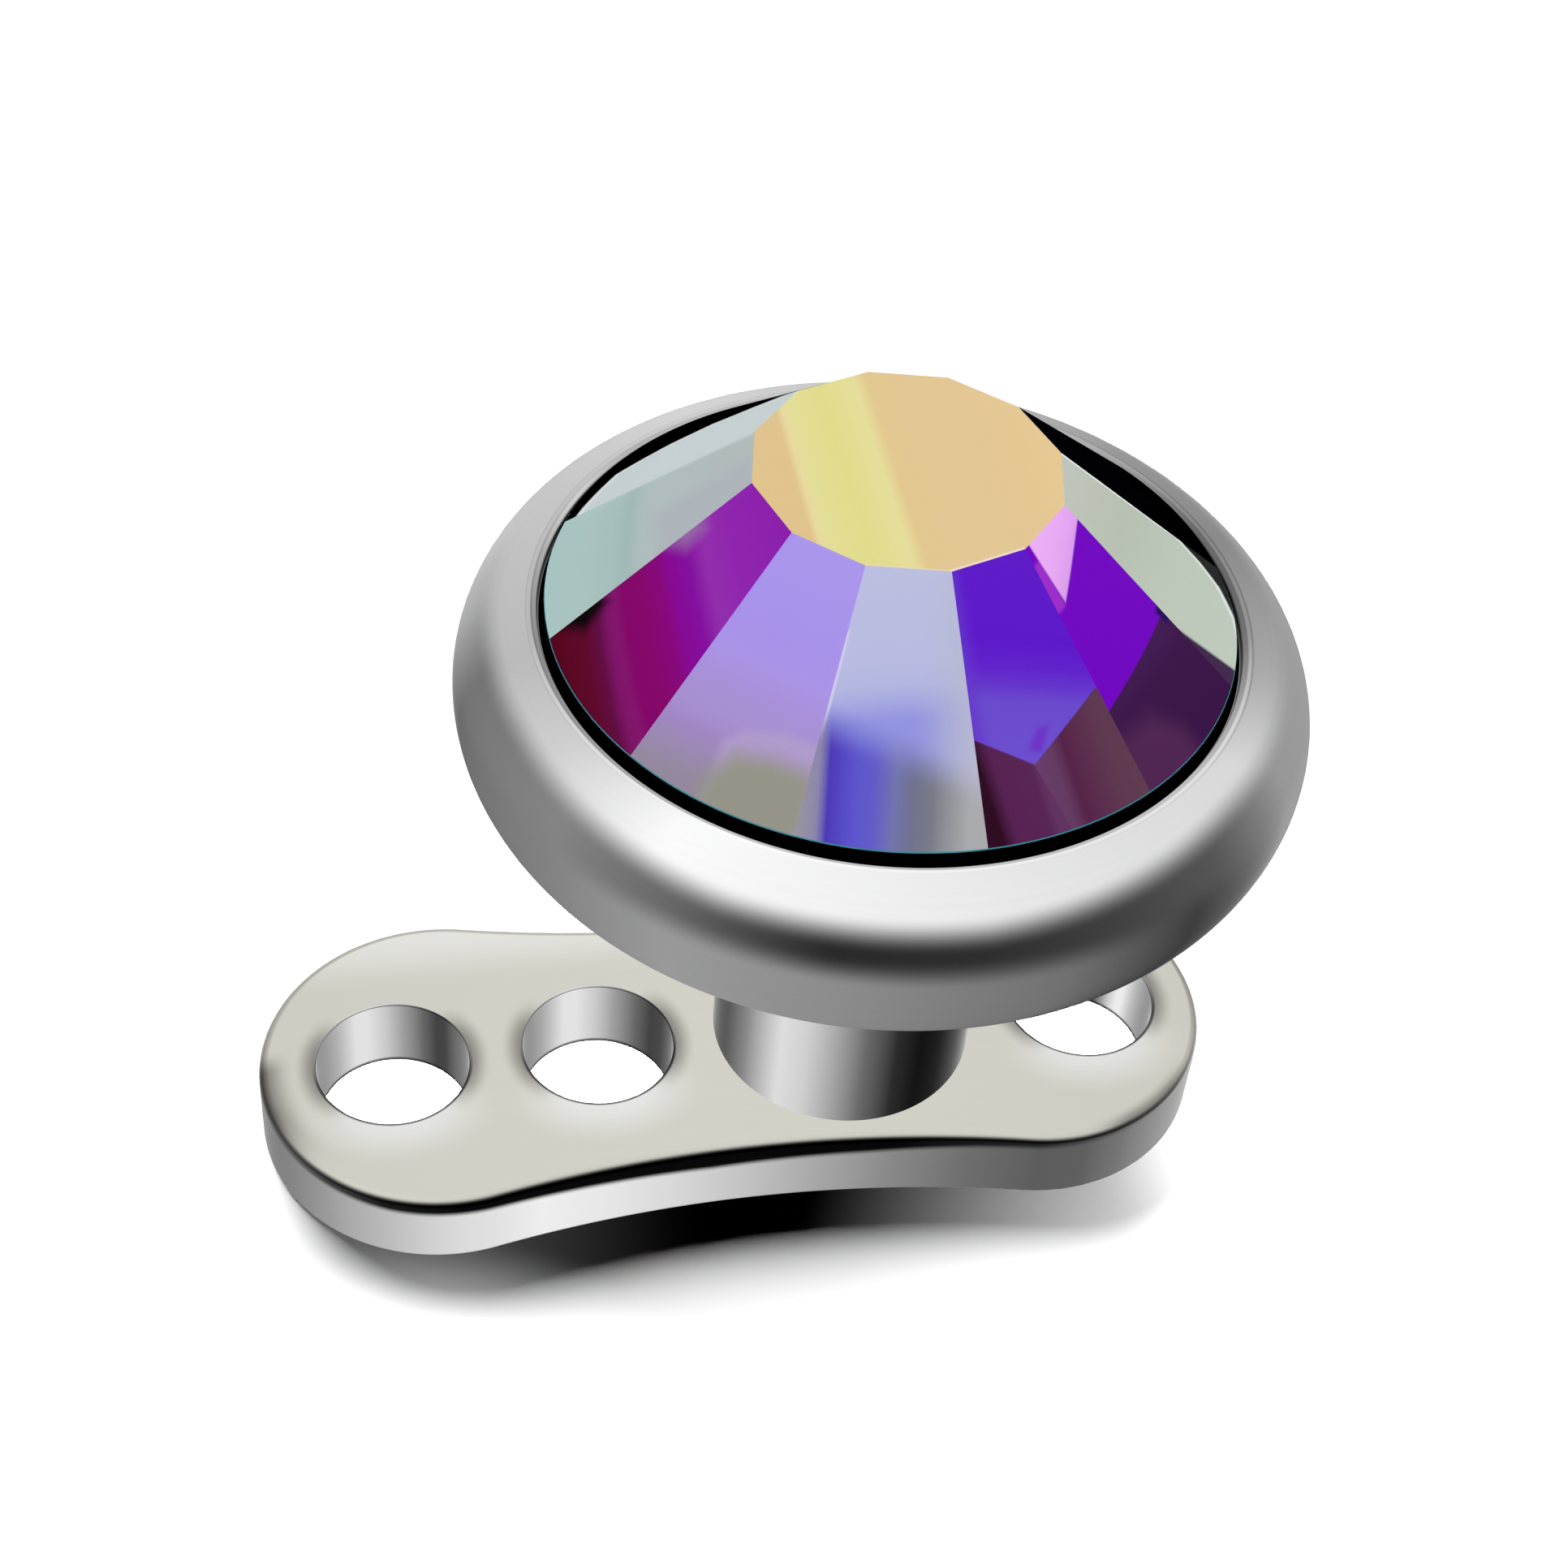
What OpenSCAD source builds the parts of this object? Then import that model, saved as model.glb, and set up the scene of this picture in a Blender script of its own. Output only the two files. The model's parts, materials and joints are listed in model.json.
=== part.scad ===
// Dermal anchor: a flat foot plate with a riser, and a round gem-set disc screwed on top.
// Millimetres. The origin is on the riser's axis at the underside of the foot plate.
// +X runs along the plate towards its short toe, and +Z runs up the riser.

/* [Foot plate] */
// Thickness of the foot plate
plate_t = 0.56; // [0.45:0.01:0.8]
// Radius of the round lobe at each end of the plate
lobe_r = 1.16; // [1.1:0.01:1.3]
// Distance from the riser's axis to the centre of the long foot's lobe
long_reach = 2.63; // [2.5:0.01:3]
// Distance from the riser's axis to the centre of the short toe's lobe
short_reach = 1.27; // [1.2:0.01:1.6]
// Width of the plate at its waist, under the riser
waist_w = 1.92; // [1.8:0.01:2.1]
// Radius of the rounded edge round the top of the plate
top_edge_r = 0.12; // [0.06:0.01:0.2]
// Radius of the rounded edge round the underside of the plate
low_edge_r = 0.05; // [0.02:0.01:0.1]

/* [Tissue holes] */
// Diameter of the three holes that tissue grows through
hole_d = 0.98; // [0.8:0.01:1.05]
// Distance from the riser's axis to the outer hole of the long foot
outer_hole_x = 2.94; // [2.85:0.01:3.05]
// Distance from the riser's axis to the inner hole of the long foot
inner_hole_x = 1.61; // [1.55:0.01:1.65]
// Distance from the riser's axis to the hole of the short toe
toe_hole_x = 1.64; // [1.55:0.01:1.75]

/* [Riser] */
// Diameter of the riser
riser_d = 1.68; // [1.6:0.01:1.75]
// Rise from the top of the plate to the underside of the disc
rise = 2.48; // [2:0.01:3]
// Diameter of the riser's blind bore
bore_d = 1.28; // [1.26:0.01:1.34]
// Depth of the riser's blind bore
bore_depth = 2.2; // [2.1:0.01:2.3]

/* [Disc] */
// Diameter of the disc
disc_d = 5; // [4.8:0.01:5.4]
// Height of the disc's round rim
rim_h = 1.16; // [1.1:0.01:1.2]
// Diameter of the cup that the crystal sits in
cup_d = 4.02; // [3.98:0.01:4.1]
// Depth of the cup below its lip
cup_depth = 0.6; // [0.55:0.01:0.7]
// Radius of the rounded edge on the cup's lip
lip_r = 0.06; // [0.03:0.01:0.08]
// Diameter of the plain stem under the disc
stem_d = 1.2; // [1.1:0.01:1.2]
// Length of the plain stem under the disc
stem_l = 2; // [1.5:0.01:2]

/* [Crystal] */
// Diameter of the crystal's round girdle
girdle_d = 3.9; // [3.7:0.01:3.94]
// Diameter of the crystal's table, across its corners
table_d = 1.76; // [1.4:0.01:2.2]
// Height of the crystal from its flat back to its table
crystal_h = 1.6; // [1.5:0.01:1.8]
// Height of the crown along its ridges, from the girdle up to the table
crown_h = 0.96; // [0.8:0.01:1]
// Height of the tapered base below the girdle
taper_h = 0.42; // [0.3:0.01:0.45]
// Diameter of the crystal's flat back
back_d = 3.1; // [2.6:0.01:3.4]
// Number of crown facets
facets = 12; // [8:1:16]
// Turn of the facets round the crystal's axis, in degrees
facet_turn = 3; // [0:1:30]

/* [Fits] */
// Thickness of the thin gap between pieces that rest on each other
seat_gap = 0.02; // [0.01:0.01:0.03]

/* [Hidden] */
$fn = 96;

// Plate: the waist is one arc on each side, tangent to both lobes
lobe_span = long_reach + short_reach;
waist_x = (short_reach - long_reach) / 2;
waist_half = waist_w / 2;
waist_r = ((lobe_span / 2) ^ 2 + waist_half ^ 2 - lobe_r ^ 2) / (2 * (lobe_r - waist_half));
waist_y = waist_half + waist_r;
join_angle = atan2(waist_y, lobe_span / 2);
join_x = lobe_r * cos(join_angle);
join_y = lobe_r * sin(join_angle);
// Sides of a full circle at the waist, where the arcs are long and nearly flat
waist_fn = 360;

// Disc: heights are from the plate's underside, and the rim is a round tube
disc_z = plate_t + rise;
rim_r = rim_h / 2;
rim_x = disc_d / 2 - rim_r;
rim_z = disc_z + rim_r;
lip_x = cup_d / 2 + lip_r;
lip_z = rim_z + sqrt((rim_r - lip_r) ^ 2 - (lip_x - rim_x) ^ 2);
lip_top = lip_z + lip_r;
cup_z = lip_top - cup_depth;

// Crystal: the crown's facets slope from the table down to the round girdle
crystal_z = cup_z + seat_gap;
table_z = crystal_z + crystal_h;
table_apothem = table_d / 2 * cos(180 / facets);
crown_angle = atan(crown_h / ((girdle_d - table_d) / 2 * cos(180 / facets)));
facet_reach = girdle_d;

// Spare length that a cutting shape has past the faces it cuts
cut = 1;

// Section through the plate's edge: the wall stands at x = 0 and the metal reaches back by depth
module edge_section(depth) {
    translate([-depth, 0]) square([depth - top_edge_r, plate_t]);
    translate([-depth, 0]) square([depth - low_edge_r, plate_t - top_edge_r]);
    translate([-depth, low_edge_r]) square([depth, plate_t - top_edge_r - low_edge_r]);
    translate([-top_edge_r, plate_t - top_edge_r]) circle(top_edge_r);
    translate([-low_edge_r, low_edge_r]) circle(low_edge_r);
}

// One end of the plate: a round lobe from one joint with the waist to the other
module lobe() {
    rotate([0, 0, join_angle])
        rotate_extrude(angle = 360 - 2 * join_angle)
            translate([lobe_r, 0]) edge_section(lobe_r);
}

// All the metal on the plate's side of one waist arc
module waist_side() {
    translate([waist_x, waist_y, 0])
        rotate_extrude($fn = waist_fn)
            translate([waist_r, 0]) mirror([1, 0]) edge_section(3 * lobe_r);
}

// The plate between its lobes
module waist() {
    intersection() {
        translate([0, 0, -cut])
            linear_extrude(plate_t + 2 * cut)
                polygon([
                    [-long_reach, 0],
                    [-long_reach + join_x, join_y],
                    [short_reach - join_x, join_y],
                    [short_reach, 0],
                    [short_reach - join_x, -join_y],
                    [-long_reach + join_x, -join_y]
                ]);
        waist_side();
        mirror([0, 1, 0]) waist_side();
    }
}

// Foot plate with its three holes, and the riser with its blind bore, as one solid
module anchor_base() {
    color("lightgray")
        difference() {
            union() {
                waist();
                translate([-long_reach, 0, 0]) lobe();
                translate([short_reach, 0, 0]) mirror([1, 0, 0]) lobe();
                translate([0, 0, plate_t / 2])
                    cylinder(d = riser_d, h = disc_z - seat_gap - plate_t / 2);
            }
            for (x = [-outer_hole_x, -inner_hole_x, toe_hole_x])
                translate([x, 0, -cut]) cylinder(d = hole_d, h = plate_t + 2 * cut);
            translate([0, 0, disc_z - bore_depth]) cylinder(d = bore_d, h = bore_depth + cut);
        }
}

// Half section of the disc, with a round rim, a flat underside and a cup for the crystal
module disc_section() {
    difference() {
        union() {
            translate([0, disc_z]) square([rim_x, rim_h]);
            translate([rim_x, rim_z]) circle(rim_r);
        }
        translate([0, cup_z]) square([cup_d / 2, rim_h]);
        translate([0, lip_z]) square([lip_x, rim_h]);
    }
    translate([lip_x, lip_z]) circle(lip_r);
}

// Disc with its cup and its plain stem, as one solid
module disc_top() {
    color("silver") {
        rotate_extrude() disc_section();
        translate([0, 0, disc_z - stem_l]) cylinder(d = stem_d, h = stem_l + rim_h / 4);
    }
}

// A block whose lower face is the plane of the crown facet that faces angle
module above_facet(angle) {
    rotate([0, 0, angle])
        translate([table_apothem, 0, table_z])
            rotate([0, crown_angle, 0])
                translate([-facet_reach, -facet_reach, 0]) cube(2 * facet_reach);
}

// Flat-backed crystal: a table, a ring of crown facets, a round girdle and a tapered base
module crystal() {
    color("mediumorchid")
        difference() {
            union() {
                translate([0, 0, crystal_z])
                    cylinder(d1 = back_d, d2 = girdle_d, h = taper_h);
                translate([0, 0, crystal_z + taper_h])
                    cylinder(d = girdle_d, h = crystal_h - taper_h);
            }
            for (i = [0 : facets - 1])
                above_facet(facet_turn + (i + 0.5) * 360 / facets);
        }
}

anchor_base();
disc_top();
crystal();
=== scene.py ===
import json
import math
from collections import namedtuple

import bpy
from mathutils import Matrix, Vector
from mathutils.geometry import tessellate_polygon


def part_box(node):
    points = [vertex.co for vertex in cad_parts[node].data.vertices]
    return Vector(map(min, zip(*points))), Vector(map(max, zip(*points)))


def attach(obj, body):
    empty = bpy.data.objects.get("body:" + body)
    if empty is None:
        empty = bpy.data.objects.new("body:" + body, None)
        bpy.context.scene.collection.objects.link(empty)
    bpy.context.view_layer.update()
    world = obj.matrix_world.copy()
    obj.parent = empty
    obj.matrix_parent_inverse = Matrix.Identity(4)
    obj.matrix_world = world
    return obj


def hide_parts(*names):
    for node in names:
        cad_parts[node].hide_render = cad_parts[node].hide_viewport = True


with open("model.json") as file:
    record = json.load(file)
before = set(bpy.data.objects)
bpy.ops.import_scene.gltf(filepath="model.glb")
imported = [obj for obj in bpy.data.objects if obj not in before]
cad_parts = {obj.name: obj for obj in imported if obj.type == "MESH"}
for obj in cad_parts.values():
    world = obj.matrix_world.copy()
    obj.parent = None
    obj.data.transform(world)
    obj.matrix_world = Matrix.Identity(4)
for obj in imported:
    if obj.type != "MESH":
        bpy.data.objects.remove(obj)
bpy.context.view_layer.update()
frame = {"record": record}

MM = 0.001
scene = bpy.context.scene

# Sizes read from the frame
mounts = {mount["name"]: mount for mount in frame["record"]["mounts"]}
hole_mounts = [mounts[name] for name in ("outer_tissue_hole", "inner_tissue_hole", "toe_tissue_hole")]


def node_box(name):
    """Lowest and highest corners of a CAD node, in millimetres, to the CAD's own hundredths."""
    return [[round(value / MM, 2) for value in corner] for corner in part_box(name)]


base_low, base_high = node_box("anchor_base")
disc_low, disc_high = node_box("disc_top")
gem_low, gem_high = node_box("crystal")

LOBE_R = base_high[1]
LONG_REACH = -base_low[0] - LOBE_R
SHORT_REACH = base_high[0] - LOBE_R
RISER_TOP = base_high[2]
PLATE_T = hole_mounts[0]["dims"]["length_mm"]
HOLE_R = hole_mounts[0]["dims"]["r_mm"]
HOLES_X = [mount["pos_m"][0] / MM for mount in hole_mounts]
DISC_R = disc_high[0]
STEM_LOW = disc_low[2]
GIRDLE_R = gem_high[0]
BACK_Z = gem_low[2]
TABLE_Z = gem_high[2]

# Sizes of the forms inside those boxes. They are the CAD's, apart from the plate's top edge, which the
# picture shows crisper than the CAD's 0.12.
WAIST_HALF = 0.96
TOP_EDGE_R = 0.06
LOW_EDGE_R = 0.05
RISER_R = 0.84
BORE_R = 0.64
BORE_DEPTH = 2.2
DISC_Z = 3.04
RIM_R = 0.58
CUP_R = 2.01
CUP_DEPTH = 0.6
LIP_R = 0.06
STEM_R = 0.6
TABLE_R = 0.88
CROWN_H = 0.96
TAPER_H = 0.42
BACK_R = 1.55
FACETS = 12
FACET_TURN = math.radians(3)

# Small roundings on edges that the CAD leaves sharp, and how far the riser's foot is sunk in the plate's mesh
HOLE_EDGE_R = 0.01
RISER_EDGE_R = 0.04
RISER_SINK = 0.04

# The plate's waist is one arc on each side, tangent to both lobes
waist_x = (SHORT_REACH - LONG_REACH) / 2
half_span = (SHORT_REACH + LONG_REACH) / 2
waist_r = (half_span**2 + WAIST_HALF**2 - LOBE_R**2) / (2 * (LOBE_R - WAIST_HALF))
waist_y = WAIST_HALF + waist_r
join_angle = math.atan2(waist_y, half_span)

# The disc's rim is a round tube, and the cup's lip is a small round on its inner side
rim_x = DISC_R - RIM_R
rim_z = DISC_Z + RIM_R
lip_x = CUP_R + LIP_R
lip_z = rim_z + math.sqrt((RIM_R - LIP_R) ** 2 - (lip_x - rim_x) ** 2)
lip_angle = math.atan2(lip_z - rim_z, lip_x - rim_x)
cup_z = lip_z + LIP_R - CUP_DEPTH

# The crown's facets slope from the table down to the girdle
facet_half = math.pi / FACETS
apothem = TABLE_R * math.cos(facet_half)
slope = math.atan2(CROWN_H, (GIRDLE_R - TABLE_R) * math.cos(facet_half))

# The visible girdle is level, and fills the cup up to a thin dark gap. A thin line of painted highlight
# runs round its top.
GIRDLE_GAP = 0.035
GIRDLE_TOP = 4.225
GIRDLE_LINE = 0.007
GIRDLE_TIP = math.radians(45)
crystal_r = CUP_R - GIRDLE_GAP


def direction(turn, rise):
    """Unit vector that points turn to the right of the front and rise above the level, both in radians."""
    return Vector((
        math.sin(turn) * math.cos(rise),
        -math.cos(turn) * math.cos(rise),
        math.sin(rise),
    ))


# Camera: the photo's angle to the object, found by fitting the model's outlines to it
VIEW_TURN = math.radians(-14.08)
VIEW_RISE = math.radians(44.57)
VIEW_ROLL = math.radians(5.38)
VIEW_AIM = Vector((-0.3275, 0.8105, 2.0))
VIEW_DISTANCE = 18.275
VIEW_BACK = direction(VIEW_TURN, VIEW_RISE)
CLIP_START = 0.5
LENS_MM = 65.23
SENSOR_MM = 36


def add_camera():
    """Camera that looks at VIEW_AIM from the photo's side and height, with the photo's slight roll."""
    level = Vector((math.cos(VIEW_TURN), math.sin(VIEW_TURN), 0))
    upright = VIEW_BACK.cross(level)
    right = level * math.cos(VIEW_ROLL) + upright * math.sin(VIEW_ROLL)
    up = VIEW_BACK.cross(right)
    camera = bpy.data.objects.new("camera", bpy.data.cameras.new("camera"))
    camera.data.lens = LENS_MM
    camera.data.sensor_width = SENSOR_MM
    camera.data.clip_start = CLIP_START * MM
    camera.matrix_world = Matrix((right, up, VIEW_BACK)).transposed().to_4x4()
    camera.location = (VIEW_AIM + VIEW_BACK * VIEW_DISTANCE) * MM
    scene.collection.objects.link(camera)
    scene.camera = camera


# Colours
def linear(value):
    """Scene-linear value of one sRGB channel from 0 to 255, by the standard curve."""
    share = value / 255
    return share / 12.92 if share <= 0.04045 else ((share + 0.055) / 1.055) ** 2.4


def colour(red, green=None, blue=None):
    """Scene-linear colour of an sRGB colour, or of a grey where one number is given."""
    if green is None:
        green = blue = red
    return (linear(red), linear(green), linear(blue), 1)


def even(value):
    """The same value on all three channels, as it is."""
    return (value, value, value, 1)


def greys(table):
    """Colour stops for a table of (position, grey from 0 to 255)."""
    return [(at, colour(grey)) for at, grey in table]


# Node maths
def plug(tree, value, socket):
    """Sets a socket to a number or colour, or links it to a field or another socket."""
    if isinstance(value, Field):
        value = value.socket
    if isinstance(value, bpy.types.NodeSocket):
        tree.links.new(value, socket)
    else:
        socket.default_value = value


class Field:
    """A number that varies over a surface. Sums written with fields become Math nodes."""

    def __init__(self, tree, socket):
        self.tree = tree
        self.socket = socket

    def maths(self, operation, *values):
        node = self.tree.nodes.new("ShaderNodeMath")
        node.operation = operation
        for socket, value in zip(node.inputs, values):
            plug(self.tree, value, socket)
        return Field(self.tree, node.outputs[0])

    def __add__(self, other):
        return self.maths("ADD", self, other)

    def __sub__(self, other):
        return self.maths("SUBTRACT", self, other)

    def __rsub__(self, other):
        return self.maths("SUBTRACT", other, self)

    def __mul__(self, other):
        return self.maths("MULTIPLY", self, other)

    def __truediv__(self, other):
        return self.maths("DIVIDE", self, other)

    def __pow__(self, other):
        return self.maths("POWER", self, other)

    def __neg__(self):
        return self.maths("MULTIPLY", self, -1)

    def __abs__(self):
        return self.maths("ABSOLUTE", self)

    def least(self, other):
        return self.maths("MINIMUM", self, other)

    def most(self, other):
        return self.maths("MAXIMUM", self, other)

    def length_with(self, other):
        return (self * self + other * other) ** 0.5

    def rise(self, start, end):
        """0 up to start, 1 from end on, and smooth between. Start may be the larger."""
        node = self.tree.nodes.new("ShaderNodeMapRange")
        node.interpolation_type = "SMOOTHSTEP"
        plug(self.tree, self, node.inputs["Value"])
        if start < end:
            low, high, first, last = start, end, 0, 1
        else:
            low, high, first, last = end, start, 1, 0
        node.inputs["From Min"].default_value = low
        node.inputs["From Max"].default_value = high
        node.inputs["To Min"].default_value = first
        node.inputs["To Max"].default_value = last
        return Field(self.tree, node.outputs["Result"])

    def between(self, low, high):
        """Low where the field is 0, and high where it is 1."""
        return self * (high - low) + low


NOISE_DETAIL = 3


class Paint:
    """Helpers that lay colours over each other in one node tree."""

    def __init__(self, tree):
        self.tree = tree

    def new(self, kind, **settings):
        node = self.tree.nodes.new(kind)
        for name, value in settings.items():
            setattr(node, name, value)
        return node

    def field(self, socket):
        return Field(self.tree, socket)

    def split(self, vector):
        """The x, y and z of a vector socket."""
        node = self.new("ShaderNodeSeparateXYZ")
        self.tree.links.new(vector, node.inputs[0])
        return [self.field(output) for output in node.outputs]

    def place(self):
        """Where a point of the piece lies, in millimetres."""
        return [value * (1 / MM) for value in self.split(self.new("ShaderNodeTexCoord").outputs["Object"])]

    def sheet(self):
        """A facet's own across and down, in millimetres."""
        return self.split(self.new("ShaderNodeTexCoord").outputs["UV"])[:2]

    def turn(self, x, y):
        """Direction from the middle to (x, y) in degrees, 0 at the right and -90 at the front."""
        return y.maths("ARCTAN2", y, x) * math.degrees(1)

    def stops(self, field, stops):
        """Stops of (position, colour) along a field, which runs from the first position to the last."""
        low, high = stops[0][0], stops[-1][0]
        node = self.new("ShaderNodeValToRGB")
        points = node.color_ramp.elements
        for index, (position, shade) in enumerate(stops):
            share = (position - low) / (high - low)
            # A new ramp has two points already
            point = points[index] if index < 2 else points.new(share)
            point.position = share
            point.color = shade
        plug(self.tree, (field - low) / (high - low), node.inputs["Fac"])
        return node.outputs["Color"]

    def tones(self, turn, table):
        """Greys from 0 to 255 by a turn in degrees, not yet made linear."""
        return self.stops(turn, [(at, even(grey / 255)) for at, grey in table])

    def over(self, under, upper, share):
        """Colour upper laid over colour under, where share is 1."""
        node = self.new("ShaderNodeMix", data_type="RGBA", clamp_factor=True)
        plug(self.tree, share, node.inputs["Factor"])
        plug(self.tree, under, node.inputs["A"])
        plug(self.tree, upper, node.inputs["B"])
        return node.outputs["Result"]

    def noise(self, x, y, z, scale=1.0):
        """Smooth noise from 0 to 1 over a place given as fields or numbers."""
        place = self.new("ShaderNodeCombineXYZ")
        for socket, value in zip(place.inputs, (x, y, z)):
            plug(self.tree, value, socket)
        node = self.new("ShaderNodeTexNoise")
        node.inputs["Scale"].default_value = scale
        node.inputs["Detail"].default_value = NOISE_DETAIL
        self.tree.links.new(place.outputs[0], node.inputs["Vector"])
        return self.field(node.outputs["Fac"])


class Finish(Paint):
    """One procedural material around a Principled shader."""

    def __init__(self, name, **settings):
        self.material = bpy.data.materials.new(name)
        self.material.use_nodes = True
        super().__init__(self.material.node_tree)
        self.shader = self.tree.nodes["Principled BSDF"]
        for socket, value in settings.items():
            self.shader.inputs[socket.replace("_", " ")].default_value = value

    def colour(self, value):
        plug(self.tree, value, self.shader.inputs["Base Color"])

    def roughness(self, value):
        plug(self.tree, value, self.shader.inputs["Roughness"])


# Meshes
class Skin:
    """One mesh in the making. Points are in millimetres, and each corner of a face has its own normal."""

    def __init__(self):
        self.points = []
        self.known = {}
        self.faces = []
        self.normals = []
        self.slots = []
        self.sheet = []

    def index(self, point):
        key = tuple(round(value, 6) for value in point)
        if key not in self.known:
            self.known[key] = len(self.points)
            self.points.append(key)
        return self.known[key]

    def face(self, corners, slot=0):
        """Adds a face, turned to face outwards.

        Its corners are (point, normal) or (point, normal, place on the facet).
        """
        kept = []
        for corner in corners:
            number = self.index(corner[0])
            if number not in [item[0] for item in kept]:
                kept.append((number, corner))
        if len(kept) < 3:
            return
        area = Vector((0, 0, 0))
        first = Vector(self.points[kept[0][0]])
        for (one, _), (two, _) in zip(kept[1:], kept[2:]):
            area += (Vector(self.points[one]) - first).cross(Vector(self.points[two]) - first)
        outward = sum((Vector(corner[1]) for _, corner in kept), Vector((0, 0, 0)))
        if area.dot(outward) < 0:
            kept.reverse()
        self.faces.append([number for number, _ in kept])
        self.slots.append(slot)
        for _, corner in kept:
            self.normals.append(corner[1])
            self.sheet.append(corner[2] if len(corner) > 2 else (0, 0))

    def band(self, rows, slot=0, closed=True):
        """Quads between each row of corners and the next."""
        for low, high in zip(rows, rows[1:]):
            count = len(low)
            for i in range(count if closed else count - 1):
                j = (i + 1) % count
                self.face([low[i], low[j], high[j], high[i]], slot)

    def turned(self, profiles, steps):
        """Bands that (profile, slot) pairs make when they turn about the part's upright axis."""
        for profile, slot in profiles:
            self.band(spin(profile, steps), slot)

    def cap(self, loops, z, up, slot=0):
        """Flat face at height z inside the first loop of (x, y) points and outside the others."""
        flat = [[Vector((x, y, 0)) for x, y in loop] for loop in loops]
        points = [point for loop in loops for point in loop]
        for triangle in tessellate_polygon(flat):
            self.face([((*points[i], z), (0, 0, up)) for i in triangle], slot)

    def build(self, name, node, finishes):
        """Makes the piece, which replaces a CAD node and rides on the part's one body."""
        mesh = bpy.data.meshes.new(name)
        mesh.from_pydata([[value * MM for value in point] for point in self.points], [], self.faces)
        for finish in finishes:
            mesh.materials.append(finish)
        mesh.polygons.foreach_set("material_index", self.slots)
        mesh.shade_smooth()
        layer = mesh.uv_layers.new(name="sheet")
        layer.data.foreach_set("uv", [value for place in self.sheet for value in place])
        mesh.normals_split_custom_set(self.normals)
        piece = bpy.data.objects.new(name, mesh)
        scene.collection.objects.link(piece)
        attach(piece, "root")
        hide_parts(node)
        return piece


QUARTER = math.pi / 2


def arc(x, y, radius, start, end, steps):
    """Points of an arc with their outward directions, as (x, y, direction x, direction y)."""
    found = []
    for i in range(steps + 1):
        angle = start + (end - start) * i / steps
        across, along = math.cos(angle), math.sin(angle)
        found.append((x + radius * across, y + radius * along, across, along))
    return found


def flat_profile(height, start, end, up):
    """Profile of a level face from one radius to another, with up 1 where it faces up and -1 where down."""
    return [(start, height, 0, up), (end, height, 0, up)]


def wall_profile(radius, start, end, out):
    """Profile of a wall from one height to another, with out 1 where it faces out and -1 where in."""
    return [(radius, start, out, 0), (radius, end, out, 0)]


def spin(profile, steps, centre=0.0):
    """Rows of corners for a profile turned about the upright axis at x = centre.

    Its points are (radius, height, outward, upward), as arc, flat_profile and wall_profile give them.
    """
    rows = []
    for radius, height, outward, upward in profile:
        row = []
        for i in range(steps):
            angle = 2 * math.pi * i / steps
            across, along = math.cos(angle), math.sin(angle)
            point = (centre + radius * across, radius * along, height)
            row.append((point, (outward * across, outward * along, upward)))
        rows.append(row)
    return rows


def circle(x, radius, steps):
    """Points of a level circle about (x, 0)."""
    return [(corner[0][0], corner[0][1]) for corner in spin([(radius, 0, 1, 0)], steps, x)[0]]


# Foot plate and riser
LOBE_STEPS = 96
WAIST_STEPS = 64
HOLE_STEPS = 96
RISER_STEPS = 160
LOW_EDGE_STEPS = 6
TOP_EDGE_STEPS = 14
HOLE_EDGE_STEPS = 4
RISER_EDGE_STEPS = 6
TOP_SLOT, EDGE_SLOT, HOLE_SLOT, SOLE_SLOT = range(4)
RISER_SLOT, BORE_SLOT = range(2)


def plate_outline():
    """Outline of the plate from above, anticlockwise, as (x, y, outward x, outward y)."""
    turn = math.pi - join_angle
    long_lobe = arc(-LONG_REACH, 0, LOBE_R, join_angle, 2 * math.pi - join_angle, LOBE_STEPS)
    short_lobe = arc(SHORT_REACH, 0, LOBE_R, -turn, turn, LOBE_STEPS)
    front = arc(waist_x, -waist_y, waist_r, turn, join_angle, WAIST_STEPS)
    back = arc(waist_x, waist_y, waist_r, -join_angle, -turn, WAIST_STEPS)
    # The waist's metal lies outside its arcs, so their outward directions point back to the arcs' centres
    front = [(x, y, -dx, -dy) for x, y, dx, dy in front]
    back = [(x, y, -dx, -dy) for x, y, dx, dy in back]
    return long_lobe + front[1:-1] + short_lobe + back[1:-1]


def edge_rows(outline, radius, middle_z, start, end, steps):
    """Rows of corners round the plate's edge. The middle of its rounding is at the height middle_z."""
    rows = []
    for i in range(steps + 1):
        angle = start + (end - start) * i / steps
        tip, level = math.sin(angle), math.cos(angle)
        inset, height = radius * (1 - level), middle_z + radius * tip
        rows.append([
            ((x - dx * inset, y - dy * inset, height), (dx * level, dy * level, tip))
            for x, y, dx, dy in outline
        ])
    return rows


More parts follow.
